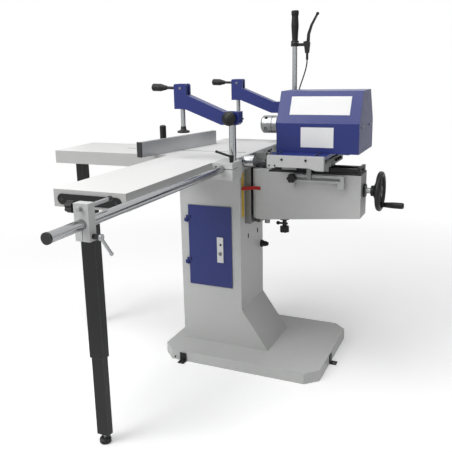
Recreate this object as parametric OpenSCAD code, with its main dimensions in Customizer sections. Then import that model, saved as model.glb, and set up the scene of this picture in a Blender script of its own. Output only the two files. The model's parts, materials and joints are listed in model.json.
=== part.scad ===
// Horizontal slot mortiser: floor column with work table, two extension tables, fence,
// cam clamps and length stop, and a knee that carries the motor head on cross slides.
// X runs along the spindle (the chuck points to -X), Y to the back, Z up.
// Origin: centre of the base footprint, on the floor. Sizes in millimetres.

/* [Base] */
// Length of the base pan along X
base_l = 624; // [560:1:760]
// Width of the base pan along Y
base_w = 474; // [420:1:560]
// Height of the base pan
base_h = 42; // [34:1:60]
// Length of the cut corners of the base
base_corner = 45; // [20:1:80]
// Width of an anchor bracket
anchor_w = 26; // [20:1:40]
// Plate thickness of an anchor bracket
anchor_t = 4; // [3:0.5:6]
// Reach of the anchor foot from the base
anchor_reach = 26; // [20:1:40]
// Anchor hole diameter
anchor_hole = 9; // [6:0.5:13]

/* [Column] */
// Left face of the column along X
col_x = -268; // [-275:1:-260]
// Length of the column along X
col_l = 251; // [230:1:270]
// Width of the column along Y
col_w = 236; // [220:1:260]
// Sheet thickness of the column
col_wall = 4; // [2.5:0.5:6]
// Height of the sloped foot above the base
foot_h = 153; // [100:1:200]
// Length of the sloped foot along X
foot_l = 106; // [60:1:140]

/* [Door] */
// Distance of the door from the left face of the column
door_in = 35; // [28:1:45]
// Width of the door
door_w = 180; // [150:1:190]
// Height of the door
door_h = 319; // [260:1:360]
// Height of the lower door edge above the floor
door_z = 280; // [240:1:330]
// Thickness of the door
door_t = 4; // [3:0.5:8]
// Lap of the door over its opening, on each side
door_lap = 10; // [6:1:16]
// Hinge knuckle diameter
knuckle_d = 9; // [8:0.5:12]
// Hinge pin diameter
hinge_pin_d = 4; // [3:0.5:5]
// Height of one hinge knuckle
knuckle_h = 13; // [10:1:20]

/* [Tables] */
// Height of the table tops above the floor
table_h = 800; // [780:1:840]
// Length of the main table along Y
table_w = 648; // [620:1:700]
// Right edge of the main table along X
table_x1 = 13; // [11:0.5:14]
// Rim height of the tables
table_t = 50; // [46:1:56]
// Thickness of the table plates
plate_t = 22; // [20:1:26]
// Width of the table rims
rim_w = 10; // [8:1:14]
// Width of the front extension along X
front_w = 235; // [180:1:236]
// Length of the front extension along Y
front_l = 530; // [400:1:600]
// Length of the side extension along X
side_l = 516; // [400:1:600]
// Width of the side extension along Y
side_w = 261; // [200:1:320]
// Middle of the side extension along Y
side_y = -72; // [-100:1:-50]
// Width of the T-slot mouth
tslot_w = 12; // [10:0.5:14]
// Depth of the T-slot mouth
tslot_d = 8; // [7:0.5:9]
// Width of the T-slot foot
tslot_foot_w = 21; // [18:0.5:24]
// Height of the T-slot foot
tslot_foot_h = 8; // [7:0.5:9]
// Place of the T-slot along Y
tslot_y = -68; // [-90:1:-50]
// Distance from the T-slot end to the right table edge
tslot_end = 26; // [20:1:60]

/* [Legs] */
// Sleeve length along X
sleeve_l = 48; // [40:1:60]
// Sleeve width along Y
sleeve_w = 30; // [26:1:40]
// Wall of the sleeve
sleeve_wall = 3; // [2:0.5:4]
// Height of the sleeve mouth above the floor
sleeve_z = 285; // [200:1:380]
// Length of the leg tube inside the sleeve
leg_overlap = 190; // [150:1:260]
// Diameter of the foot
leg_foot_d = 36; // [30:1:50]
// Height of the foot
leg_foot_h = 18; // [14:1:24]
// Stud length between foot and leg tube
leg_stud = 12; // [8:1:40]

/* [Stop bar] */
// Diameter of the stop bar
bar_d = 25; // [20:1:28]
// Length of the stop bar outside its block
bar_l = 892; // [600:1:1000]
// Place of the stop bar along X
bar_x = 3; // [-2:1:6]
// Depth of the stop bar axis under the table top
bar_drop = 20; // [17:1:24]
// Stop block size along X
stop_l = 40; // [36:1:50]
// Stop block size along Y
stop_w = 25; // [20:1:34]
// Stop block size along Z
stop_h = 88; // [80:1:100]
// Distance from the bar end to the stop block
stop_in = 135; // [80:1:300]
// Diameter of the stop pin
stop_pin_d = 10; // [8:0.5:12]

/* [Clamps] */
// Diameter of the clamp posts
post_d = 24; // [20:1:28]
// Distance of each post from the table's end
post_in = 71; // [62:1:84]
// Place of the posts along X
post_x = 14.5; // [12:0.5:18]
// Length of the posts above the table top
post_h = 162; // [150:1:220]
// Thickness of the clamp arms
arm_t = 35; // [32:1:44]
// Height of the arm underside above the table top at the post
arm_z = 121; // [115:1:150]
// Depth of the arm section
arm_depth = 44; // [38:1:50]
// Reach of the plunger from the post
arm_reach = 186; // [160:1:220]
// Rise of the arm from post to head
arm_rise = 52; // [40:1:70]
// Length of the arm head along X
head_l = 48; // [44:1:60]
// Height of the arm head
head_h = 85; // [80:1:100]
// Slot for the cam lever in the head
cam_slot = 13; // [12:0.5:16]
// Radius of the cam
cam_r = 13; // [11:0.5:15]
// Offset of the cam from its pin
cam_e = 8; // [5:0.5:9]
// Diameter of the cam pin
cam_pin_d = 8; // [6:0.5:9]
// Diameter of the plunger
plunger_d = 16; // [12:0.5:18]
// Diameter of the clamp pad
pad_d = 44; // [36:1:54]
// Height of the pad underside above the table top
pad_z = 90; // [70:1:100]
// Diameter of the arm knob
arm_knob_d = 47; // [40:1:54]

/* [Fence] */
// Length of the fence
fence_l = 446; // [380:1:480]
// Height of the fence
fence_h = 54; // [44:1:64]
// Thickness of the fence
fence_t = 20; // [16:1:26]
// Turn of the fence away from Y
fence_turn = 12.8; // [0:0.1:20]
// Place of the fence bolt along X
fence_x = -359; // [-380:1:-340]
// Distance from the fence bolt to the fence face
fence_off = 80; // [66:1:100]
// Length of the fence behind the bolt
fence_back = 237; // [180:1:260]
// Diameter of the fence handle
handle_d = 25; // [20:1:30]
// Height of the fence handle
handle_h = 84; // [60:1:100]

/* [Knee] */
// Thickness of the vertical way on the column
way_t = 25; // [20:1:26]
// Depth of the way's dovetail
way_tongue = 25; // [24:1:27]
// Half width of the way
way_half = 73; // [60:1:76]
// Length of the upright way
way_l = 220; // [210:1:270]
// Left face of the knee slide along X
knee_x = 15; // [14.5:0.5:17]
// Right face of the knee slide along X
knee_x1 = 80; // [78:1:90]
// Length of the knee box along X
box_l = 335; // [330:1:400]
// Half width of the knee slide
knee_half = 76; // [74:1:90]
// Width of the knee box at its end
box_end_w = 94; // [90:1:120]
// Depth of the knee top under the table top
knee_drop = 59; // [58:0.5:62]
// Height of the knee slide
knee_h = 187; // [180:1:195]
// Rise of the underside towards the end of the knee box
box_rise = 30; // [10:1:40]
// Wall of the knee box
box_wall = 5; // [4:0.5:8]
// Thickness of the rail bed
bed_t = 6; // [5:0.5:8]
// Depth of the handwheel shaft under the knee top
shaft_drop = 65; // [60:1:70]
// Diameter of the handwheel shaft
shaft_d = 20; // [16:1:22]
// Diameter of the lift screw
screw_d = 20; // [16:1:22]
// Place of the lift screw along X
screw_x = 56; // [55:0.5:57]
// Diameter of the handwheel
wheel_d = 140; // [120:1:160]
// Gap between knee box and handwheel hub
wheel_gap = 26; // [22:1:60]
// Length of the handwheel grip
grip_l = 68; // [50:1:80]

/* [Head] */
// Height of the X rails
rail_h = 15; // [14:0.5:17]
// Width of the X rails
rail_w = 20; // [16:0.5:22]
// Distance of the two X rails
rail_pitch = 60; // [56:1:64]
// Left end of the head along X
head_x = 117; // [115:1:124]
// Length of the slide along X
slide_l = 198; // [190:1:220]
// Half width of the slide along Y
slide_half = 198; // [195:1:220]
// Thickness of the motor plate
mplate_t = 13; // [10:1:16]
// Height of the motor plate top above the table top
mplate_rise = 13; // [12:1:18]
// Height of the saddle
saddle_h = 26; // [24:1:27]
// Half width of the saddle along Y
saddle_half = 90; // [80:1:92]
// Thickness of the slide end plates
apron_t = 15; // [12:1:18]
// Diameter of the Y rods
yrod_d = 16; // [12:0.5:17]
// Height of the spindle axis above the table top
spindle_rise = 99; // [96:1:105]
// Length of the hood along X
hood_l = 289; // [270:1:320]
// Half width of the hood
hood_half = 115; // [110:1:130]
// Height of the hood's upright sides
hood_side = 102; // [90:1:120]
// Height of the hood
hood_h = 209; // [200:1:240]
// Half width of the hood's flat top
hood_top = 62; // [40:1:90]
// Sheet thickness of the hood
hood_wall = 3; // [2:0.5:4]
// Motor diameter
motor_d = 164; // [150:1:168]
// Spindle diameter
spindle_d = 30; // [24:1:34]
// Chuck diameter
chuck_d = 65; // [58:1:70]
// Chuck length
chuck_l = 64; // [58:1:70]
// Left end of the chuck along X
chuck_x = 31; // [28:1:34]
// Tool bore of the chuck
tool_d = 16; // [10:0.5:20]
// Depth of the tool bore
tool_depth = 45; // [30:1:48]

/* [Control lever] */
// Diameter of the lever tube
stick_d = 18; // [16:0.5:22]
// Height of the lever tube top above the table top
stick_rise = 508; // [400:1:600]
// Place of the lever along Y
stick_y = 147; // [130:1:180]
// Length of the hand grip
hand_l = 116; // [100:1:130]
// Diameter of the hand grip
hand_d = 26; // [24:1:34]

/* [Clearances] */
// Running clearance of shafts and pins, on the radius
run_c = 0.05; // [0.02:0.01:0.09]
// Sliding clearance of flat ways
slide_c = 0.4; // [0.3:0.05:0.6]

/* [Hidden] */
$fn = 48;

paint_grey = [0.80, 0.80, 0.79];
paint_blue = [0.20, 0.23, 0.48];
table_white = [0.93, 0.93, 0.92];
black = [0.10, 0.10, 0.11];
steel = [0.70, 0.71, 0.72];
chrome = [0.82, 0.83, 0.84];
alloy = [0.62, 0.63, 0.64];
red = [0.72, 0.10, 0.09];

eps = 0.01;
table_z0 = table_h - table_t;
col_x1 = col_x + col_l;
col_z1 = table_z0;
table_x0 = col_x;
table_l = table_x1 - table_x0;
front_y1 = -table_w / 2;
front_y0 = front_y1 - front_l;
side_x0 = table_x0 - side_l;
side_y0 = side_y - side_w / 2;
post_y = table_w / 2 - post_in;

// Corner blocks: they hold a clamp post, and the front one the stop bar.
block_x0 = table_x0 + front_w;
block_x1 = 42;
block_w = 108;
block_h = 58;
block_y0 = -table_w / 2;
bar_z = table_h - bar_drop;
bar_seat = 50;
bar_y0 = block_y0 - bar_l;
bar_lever_x = 29;
bar_lever_y = block_y0 + 24;
lever_stud_d = 8;

// Knee and its box.
way_z = col_z1 - way_l;
knee_z1 = table_h - knee_drop;
shaft_z = knee_z1 - shaft_drop;
box_x1 = knee_x1 + box_l;
knee_z0 = knee_z1 - knee_h;
bed_z0 = knee_z1 - bed_t;
knee_y0 = -knee_half;
box_end_y1 = knee_y0 + box_end_w;
shaft_y = knee_y0 + box_end_w / 2 + 3;
screw_y = shaft_y;
way_x1 = col_x1 + way_t;
tongue_x1 = way_x1 + way_tongue;
tongue_half0 = 30;
tongue_half1 = 42;
tongue_slope = (tongue_half1 - tongue_half0) / way_tongue;
nut_r = 16;
gear_r0 = 20;
gear_r1 = 13;
cavity_r = gear_r0 + 1;
screw_hole_r = screw_d / 2 + slide_c;
nut_z0 = shaft_z - 66;
gear_z0 = shaft_z - gear_r0 - 4;
wheel_x = box_x1 + wheel_gap;
hub_l = 40;
wheel_pin_r = 52;

// Slides and head.
mplate_z1 = table_h + mplate_rise;
spindle_z = table_h + spindle_rise;
stick_z1 = table_h + stick_rise;
rail_z1 = knee_z1 + rail_h;
saddle_z0 = rail_z1 + 10;
saddle_z1 = saddle_z0 + saddle_h;
mplate_z0 = mplate_z1 - mplate_t;
slide_x1 = head_x + slide_l;
yrod_z = saddle_z0 + saddle_h / 2;
yrod_in = 24;
hood_x0 = head_x + 6;
hood_x1 = hood_x0 + hood_l;
nose_d = 58;
stick_x = head_x - stick_d / 2 - 1.5;
lever_pivot_x = stick_x + 50;
lever_pivot_z = stick_z1 - hand_l - 4;

// Clamp arm heights.
arm_z0 = table_h + arm_z;
arm_z1 = arm_z0 + arm_depth;
head_z0 = arm_z0 + arm_rise;
head_z1 = head_z0 + head_h;
cam_z = head_z1 - 15;
plunger_z1 = cam_z - cam_r - cam_e - 2;
slot_z = plunger_z1 - 8;
pad_z0 = table_h + pad_z;

module box(x0, x1, y0, y1, z0, z1) {
  translate([x0, y0, z0]) cube([x1 - x0, y1 - y0, z1 - z0]);
}

// Cylinder along X from x0 to x1 at (y, z)
module rod_x(x0, x1, y, z, r) {
  translate([x0, y, z]) rotate([0, 90, 0]) cylinder(r = r, h = x1 - x0);
}

// Cylinder along Y from y0 to y1 at (x, z)
module rod_y(y0, y1, x, z, r) {
  translate([x, y1, z]) rotate([90, 0, 0]) cylinder(r = r, h = y1 - y0);
}

// Cylinder along Z from z0 to z1 at (x, y)
module rod_z(z0, z1, x, y, r) {
  translate([x, y, z0]) cylinder(r = r, h = z1 - z0);
}

// Round rod between two points
module rod_between(p, q, r) {
  d = q - p;
  len = norm(d);
  translate(p) rotate([0, acos(d[2] / len), atan2(d[1], d[0])]) cylinder(r = r, h = len);
}

// Outline in X and Z, drawn out along Y from y0 to y1
module side_profile(points, y0, y1) {
  translate([0, y1, 0]) rotate([90, 0, 0]) linear_extrude(y1 - y0) polygon(points);
}

// Lobed knob about Z: round body with grip lobes on its rim
module star_knob(d, h, lobes = 6) {
  lobe_r = d * 0.14;
  difference() {
    cylinder(d = d, h = h);
    for (i = [0 : lobes - 1])
      rotate((i + 0.5) * 360 / lobes) translate([d / 2 + lobe_r * 0.35, 0, -eps])
        cylinder(r = lobe_r, h = h + 2 * eps);
  }
}

// Clamping lever about Z: hub on a stud, with an arm that rises outwards along +X
module ratchet_lever(stud_l, arm_l = 52) {
  hub_d = 16;
  hub_h = 24;
  rise = 16;
  translate([0, 0, -stud_l]) cylinder(d = lever_stud_d, h = stud_l + 1);
  cylinder(d1 = hub_d * 0.8, d2 = hub_d, h = hub_h);
  rod_between([0, 0, hub_h - 5], [arm_l, 0, hub_h - 5 + rise], 4);
  translate([arm_l, 0, hub_h - 5 + rise]) sphere(r = 5);
}

// Table slab open below: plate with a rim
module tray(x0, x1, y0, y1, z0, z1) {
  difference() {
    box(x0, x1, y0, y1, z0, z1);
    box(x0 + rim_w, x1 - rim_w, y0 + rim_w, y1 - rim_w, z0 - eps, z1 - plate_t);
  }
}

module base_plate() {
  l = base_l / 2;
  w = base_w / 2;
  c = base_corner;
  color(paint_grey) linear_extrude(base_h) polygon([[-l + c, -w], [l - c, -w], [l, -w + c], [l, w - c],
           [l - c, w], [-l + c, w], [-l, w - c], [-l, -w + c]]);
}

// Angle bracket against the plane Y = 0, foot towards -Y
module anchor() {
  h = base_h - 8;
  difference() {
    union() {
      box(-anchor_w / 2, anchor_w / 2, -anchor_t, 0, 0, h);
      box(-anchor_w / 2, anchor_w / 2, -anchor_reach, 0, 0, anchor_t);
    }
    rod_z(-eps, anchor_t + eps, 0, -(anchor_reach + anchor_t) / 2, anchor_hole / 2);
  }
}

anchor_x = -base_l / 2 + base_corner + 51;
anchor_y = -40;

module anchor_brackets() {
  color(black) {
    translate([anchor_x, -base_w / 2, 0]) anchor();
    translate([anchor_x, base_w / 2, 0]) rotate(180) anchor();
    translate([base_l / 2, anchor_y, 0]) rotate(90) anchor();
  }
}

// Column: folded channel of left, rear and right walls
module column_shell() {
  color(paint_grey) difference() {
    box(col_x, col_x1, -col_w / 2 + col_wall, col_w / 2, base_h, col_z1);
    box(col_x + col_wall, col_x1 - col_wall, -col_w / 2, col_w / 2 - col_wall,
        base_h - eps, col_z1 + eps);
  }
}

door_x0 = col_x + door_in;
door_x1 = door_x0 + door_w;
panel_y = -col_w / 2;
door_gap = 0.5;
door_y1 = panel_y - door_gap;
door_y0 = door_y1 - door_t;
hinge_x = door_x0 - 4;
hinge_y = door_y0 - knuckle_d / 2 + 1;
hinge_zs = [door_z + 82, door_z + 252];
latch_x = door_x1 - 46;
latch_z = door_z + 135;
latch_r = 7;

// Front wall with the door opening, and the fixed hinge halves with their pins
module column_front() {
  color(paint_grey) {
    difference() {
      box(col_x, col_x1, panel_y, panel_y + col_wall, base_h, col_z1);
      box(door_x0 + door_lap, door_x1 - door_lap, panel_y - 1, panel_y + col_wall + 1,
          door_z + door_lap, door_z + door_h - door_lap);
    }
    for (z = hinge_zs) {
      box(hinge_x - 12, hinge_x, hinge_y, panel_y, z, z + knuckle_h);
      rod_z(z, z + knuckle_h, hinge_x, hinge_y, knuckle_d / 2);
      rod_z(z + knuckle_h - 1, z + 2 * knuckle_h, hinge_x, hinge_y, hinge_pin_d / 2);
    }
  }
}

// Sloped foot that braces the column towards the head
module column_foot() {
  color(paint_grey) side_profile([[col_x1, base_h], [col_x1 + foot_l, base_h],
    [col_x1, base_h + foot_h]], -col_w / 2, col_w / 2);
}

module column_door() {
  knuckle_gap = 0.4;
  latch_w = 26;
  latch_h = 100;
  latch_t = 4;
  color(paint_blue) difference() {
    union() {
      box(door_x0, door_x1, door_y0, door_y1, door_z, door_z + door_h);
      box(latch_x - latch_w / 2, latch_x + latch_w / 2, door_y0 - latch_t, door_y0 + eps,
          latch_z - latch_h * 0.35, latch_z + latch_h * 0.65);
      for (z = hinge_zs) {
        rod_z(z + knuckle_h + knuckle_gap, z + 2 * knuckle_h, hinge_x, hinge_y, knuckle_d / 2);
        box(hinge_x, door_x0 + 8, hinge_y - 1, door_y0 + eps,
            z + knuckle_h + knuckle_gap, z + 2 * knuckle_h);
      }
    }
    for (z = hinge_zs)
      rod_z(z + knuckle_h - 1, z + 2 * knuckle_h + 1, hinge_x, hinge_y, hinge_pin_d / 2 + run_c);
    rod_y(door_y0 - latch_t - 1, door_y1 + 1, latch_x, latch_z, latch_r + slide_c);
  }
}

// Lock barrel with its tongue behind the front wall; drawn unlocked
module latch_cam() {
  tongue_l = 46;
  tongue_y = panel_y + col_wall + slide_c;
  color(steel) difference() {
    union() {
      rod_y(door_y0 - 6, tongue_y + 3, latch_x, latch_z, latch_r);
      box(latch_x - latch_r, latch_x + latch_r, tongue_y, tongue_y + 3, latch_z - tongue_l, latch_z);
    }
    box(latch_x - 1.5, latch_x + 1.5, door_y0 - 7, door_y0 - 3, latch_z - 4, latch_z + 4);
  }
}

module cable_gland() {
  gland_y = 100;
  gland_z = 404;
  color(black) difference() {
    union() {
      translate([col_x1, gland_y, gland_z]) rotate([0, 90, 0]) cylinder(d = 30, h = 9, $fn = 6);
      rod_x(col_x1 + 9, col_x1 + 22, gland_y, gland_z, 11);
      rod_x(col_x1 + 22, col_x1 + 30, gland_y, gland_z, 8);
    }
    rod_x(col_x1 + 12, col_x1 + 31, gland_y, gland_z, 5);
  }
}

// Outline of the way's dovetail tongue, grown by c
function tongue(c) = [
  [way_x1 - (c > 0 ? c : 1), -tongue_half0 - c], [tongue_x1 + c, -tongue_half1 - c],
  [tongue_x1 + c, tongue_half1 + c], [way_x1 - (c > 0 ? c : 1), tongue_half0 + c]];

module column_way() {
  color(steel) translate([0, 0, way_z]) linear_extrude(col_z1 - way_z) {
    translate([col_x1, -way_half]) square([way_t, 2 * way_half]);
    polygon(tongue(0));
  }
}

bracket_z0 = knee_z1 + 34;
bracket_y0 = screw_y - 30;
bracket_y1 = screw_y + 30;

// Fixed lift screw hung from its bracket on the table edge
module lift_screw() {
  screw_z0 = way_z - 2;
  nut_h = 8;
  color(steel) {
    difference() {
      union() {
        box(table_x1, screw_x + 8, bracket_y0, bracket_y1, bracket_z0, table_h);
        rod_z(bracket_z0, table_h, screw_x + 8, screw_y, 20);
      }
      rod_z(bracket_z0 - 1, table_h + 1, screw_x, screw_y, screw_d / 2 + run_c);
    }
    rod_z(screw_z0, table_h + 1, screw_x, screw_y, screw_d / 2);
    translate([screw_x, screw_y, table_h]) cylinder(d = 30, h = nut_h, $fn = 6);
  }
}

module tslot(x0, x1) {
  z1 = table_h + 1;
  box(x0, x1, tslot_y - tslot_w / 2, tslot_y + tslot_w / 2, table_h - tslot_d - eps, z1);
  box(x0, x1, tslot_y - tslot_foot_w / 2, tslot_y + tslot_foot_w / 2,
      table_h - tslot_d - tslot_foot_h, table_h - tslot_d);
}

module main_table() {
  color(table_white) difference() {
    tray(table_x0, table_x1, -table_w / 2, table_w / 2, table_z0, table_h);
    tslot(table_x0 - 1, table_x1 - tslot_end);
    for (m = [0, 1]) mirror([0, m, 0])
      box(block_x0, table_x1 + 1, block_y0 - 1, block_y0 + block_w, table_z0 - 1, table_h + 1);
  }
}

boss_in = 66;
boss_y = block_y0 + block_w + boss_in;

// Steel rail along the right table edge, with the round boss at its front part
module table_rail() {
  rail_t = 5;
  rail_z0 = bracket_z0 + 1;
  end_y = -block_y0 - block_w;
  boss_l = 37;
  boss_d = 43;
  color(steel) {
    box(table_x1, table_x1 + rail_t, -end_y, bracket_y0, rail_z0, table_h - 1);
    box(table_x1, table_x1 + rail_t, bracket_y1, end_y, rail_z0, table_h - 1);
    rod_x(table_x1 + rail_t, table_x1 + rail_t + boss_l, boss_y, table_h - 17, boss_d / 2);
  }
}

// Front extension with its end cover
module front_extension() {
  cover_t = 3;
  cover_h = 30;
  cover_in = 14;
  cover_z = table_h - table_t / 2 - 2;
  color(table_white) {
    tray(table_x0, block_x0, front_y0, front_y1, table_z0, table_h);
    for (x = [table_x0 + cover_in + cover_h / 2, block_x0 - cover_in - cover_h / 2])
      rod_y(front_y0 - cover_t, front_y0, x, cover_z, cover_h / 2);
    box(table_x0 + cover_in + cover_h / 2, block_x0 - cover_in - cover_h / 2,
        front_y0 - cover_t, front_y0, cover_z - cover_h / 2, cover_z + cover_h / 2);
  }
}

module side_extension() {
  color(table_white) difference() {
    tray(side_x0, table_x0, side_y0, side_y0 + side_w, table_z0, table_h);
    tslot(side_x0 + side_l / 2, table_x0 + 1);
  }
}

front_leg_x = table_x0 + 75;
front_leg_y = front_y0 + 52;
side_leg_x = side_x0 + 30;
side_leg_y = side_y;
sleeve_z1 = table_h - plate_t;

// Sleeve of one leg with its flange under the table plate
module sleeve() {
  flange_l = 34;
  flange_w = 18;
  difference() {
    union() {
      box(-sleeve_l / 2, sleeve_l / 2, -sleeve_w / 2, sleeve_w / 2, sleeve_z, sleeve_z1);
      box(-flange_l, flange_l, -flange_w, flange_w, sleeve_z1 - 5, sleeve_z1);
    }
    box(-sleeve_l / 2 + sleeve_wall, sleeve_l / 2 - sleeve_wall, -sleeve_w / 2 + sleeve_wall,
        sleeve_w / 2 - sleeve_wall, sleeve_z - 1, sleeve_z1 - 10);
  }
}

module leg_sleeves() {
  color(black) {
    translate([front_leg_x, front_leg_y, 0]) sleeve();
    translate([side_leg_x, side_leg_y, 0]) rotate(90) sleeve();
  }
}

// Leg tube that slides in the sleeve, with its stud and foot
module leg() {
  l = sleeve_l / 2 - sleeve_wall - slide_c;
  w = sleeve_w / 2 - sleeve_wall - slide_c;
  tube_z0 = leg_foot_h + leg_stud;
  stud_r = 6;
  tube_t = 2.5;
  difference() {
    box(-l, l, -w, w, tube_z0, sleeve_z + leg_overlap);
    box(-l + tube_t, l - tube_t, -w + tube_t, w - tube_t, tube_z0 + 8, sleeve_z + leg_overlap + 1);
  }
  rod_z(leg_foot_h - 1, tube_z0 + 1, 0, 0, stud_r);
  rotate_extrude() polygon([[0, 0], [leg_foot_d / 2 - 2, 0], [leg_foot_d / 2, 3],
    [leg_foot_d / 2, leg_foot_h - 5], [leg_foot_d / 2 - 4, leg_foot_h], [0, leg_foot_h]]);
}

module front_leg() {
  color(black) translate([front_leg_x, front_leg_y, 0]) leg();
}

module side_leg() {
  color(black) translate([side_leg_x, side_leg_y, 0]) rotate(90) leg();
}

// Block at a table corner with the bore for a clamp post
module corner_block() {
  difference() {
    box(block_x0, block_x1, block_y0, block_y0 + block_w, table_h - block_h, table_h);
    rod_z(table_h - block_h + 4, table_h + 1, post_x, -post_y, post_d / 2 + run_c);
    translate([block_x1, block_y0 + block_w, 0]) rotate(45)
      box(-18, 18, -18, 18, table_h - block_h - 1, table_h + 1);
  }
}

module corner_blocks() {
  slit = 2;
  color(paint_grey) {
    difference() {
      corner_block();
      rod_y(block_y0 - 1, block_y0 + bar_seat, bar_x, bar_z, bar_d / 2 + run_c);
      box(bar_x, block_x1 + 1, block_y0 - 1, block_y0 + bar_seat, bar_z - slit / 2, bar_z + slit / 2);
      rod_z(bar_z - 14, table_h + 1, bar_lever_x, bar_lever_y, lever_stud_d / 2 + run_c);
    }
    mirror([0, 1, 0]) corner_block();
  }
}

// Stop bar with its end cap
module stop_bar() {
  cap_t = 6;
  seat_gap = 2;
  color(chrome) {
    rod_y(bar_y0 + cap_t, block_y0 + bar_seat - seat_gap, bar_x, bar_z, bar_d / 2);
    rod_y(bar_y0, bar_y0 + cap_t, bar_x, bar_z, bar_d / 2 + 1);
  }
}

module bar_lever() {
  color(black) translate([bar_lever_x, bar_lever_y, table_h + slide_c]) rotate(186) ratchet_lever(20);
}

stop_y = bar_y0 + stop_in;
stop_z0 = bar_z - 40;
stop_z1 = stop_z0 + stop_h;
stop_pin_z = stop_z1 - 12;
stop_lever_z = stop_z0 + 11;
stop_stud_d = 8;

module stop_block() {
  slit = 2;
  y0 = stop_y - stop_w / 2;
  y1 = stop_y + stop_w / 2;
  color(paint_grey) difference() {
    box(bar_x - stop_l / 2, bar_x + stop_l / 2, y0, y1, stop_z0, stop_z1);
    rod_y(y0 - 1, y1 + 1, bar_x, bar_z, bar_d / 2 + run_c);
    box(bar_x - slit / 2, bar_x + slit / 2, y0 - 1, y1 + 1, stop_z0 - 1, bar_z);
    rod_y(y0 - 1, y1 + 1, bar_x, stop_pin_z, stop_pin_d / 2 + run_c);
    rod_x(bar_x - stop_l / 2 - 1, bar_x, stop_y, stop_pin_z, stop_stud_d / 2 + run_c);
    rod_x(bar_x, bar_x + stop_l / 2 + 1, stop_y, stop_lever_z, lever_stud_d / 2 + run_c);
  }
}

// Stop pin through the block, with a soft tip
module stop_pin() {
  pin_out = 24;
  pin_l = 118;
  tip_l = 12;
  color(steel) {
    rod_y(stop_y - pin_out, stop_y - pin_out + pin_l, bar_x, stop_pin_z, stop_pin_d / 2);
    rod_y(stop_y - pin_out + pin_l, stop_y - pin_out + pin_l + tip_l, bar_x, stop_pin_z,
          stop_pin_d / 2 + 1.5);
  }
}

module stop_knob() {
  knob_d = 28;
  knob_h = 18;
  x1 = bar_x - stop_l / 2 - 6;
  color(black) {
    translate([x1, stop_y, stop_pin_z]) rotate([0, -90, 0]) star_knob(knob_d, knob_h);
    rod_x(x1 - 1, bar_x - stop_pin_d / 2 - slide_c, stop_y, stop_pin_z, stop_stud_d / 2);
  }
}

module stop_lever() {
  color(steel) translate([bar_x + stop_l / 2 + slide_c, stop_y, stop_lever_z])
    rotate([0, 90, 0]) rotate(20) ratchet_lever(14, 44);
}

// T-bolt that runs in the T-slot
module fence_bolt() {
  head_gap = 1;
  bolt_r = 5;
  nut_l = 34;
  z1 = table_h - tslot_d - slide_c;
  color(steel) {
    box(fence_x - nut_l / 2, fence_x + nut_l / 2, tslot_y - tslot_foot_w / 2 + head_gap,
        tslot_y + tslot_foot_w / 2 - head_gap, table_h - tslot_d - tslot_foot_h + slide_c, z1);
    rod_z(z1 - 1, table_h + 34, fence_x, tslot_y, bolt_r);
  }
}

fence_z0 = table_h + slide_c;
foot_plate_t = 10;

// Fence: hollow-backed alloy profile with end cap, on its foot plate
module fence() {
  groove = 9;
  lip = 5;
  cap_t = 5;
  foot_w = 54;
  y0 = -(fence_l - fence_back);
  color(alloy) translate([fence_x, tslot_y, 0]) rotate(-fence_turn) {
    difference() {
      box(fence_off - fence_t, fence_off, y0 + cap_t, fence_back, fence_z0, fence_z0 + fence_h);
      for (z = [fence_h * 0.3, fence_h * 0.72]) {
        box(fence_off - fence_t - 1, fence_off - fence_t + lip, y0, fence_back + 1,
            fence_z0 + z - groove / 2, fence_z0 + z + groove / 2);
        box(fence_off - fence_t + lip - 2, fence_off - fence_t + lip + 6, y0, fence_back + 1,
            fence_z0 + z - groove, fence_z0 + z + groove);
      }
    }
    box(fence_off - fence_t - 1, fence_off + 1, y0, y0 + cap_t, fence_z0, fence_z0 + fence_h + 1);
    difference() {
      union() {
        box(-handle_d, fence_off - fence_t, -foot_w / 2, foot_w / 2, fence_z0, fence_z0 + foot_plate_t);
        box(fence_off - fence_t - 8, fence_off - fence_t, -foot_w / 2, foot_w / 2,
            fence_z0, fence_z0 + fence_h - 8);
      }
      rod_z(fence_z0 - 1, fence_z0 + foot_plate_t + 1, 0, 0, 5 + run_c);
    }
  }
}

// Grip that screws down on the fence bolt
module fence_handle() {
  z0 = fence_z0 + foot_plate_t + slide_c;
  flange_h = 5;
  color(black) translate([fence_x, tslot_y, z0]) difference() {
    rotate_extrude() polygon([[0, 0], [handle_d / 2 + 4, 0], [handle_d / 2 + 4, flange_h],
      [handle_d / 2 - 1, flange_h + 4], [handle_d / 2, handle_h * 0.4], [handle_d / 2, handle_h - 4],
      [handle_d / 2 - 4, handle_h], [0, handle_h]]);
    translate([0, 0, -1]) cylinder(r = 5 + run_c, h = 32);
  }
}

module post() {
  color(chrome) rod_z(table_h - block_h + 6, table_h + post_h, post_x, 0, post_d / 2);
}

module front_post() {
  translate([0, -post_y, 0]) post();
}

module rear_post() {
  translate([0, post_y, 0]) post();
}

knob_stud_r = 5;
arm_knob_z = arm_z0 + arm_depth / 2;

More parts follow.
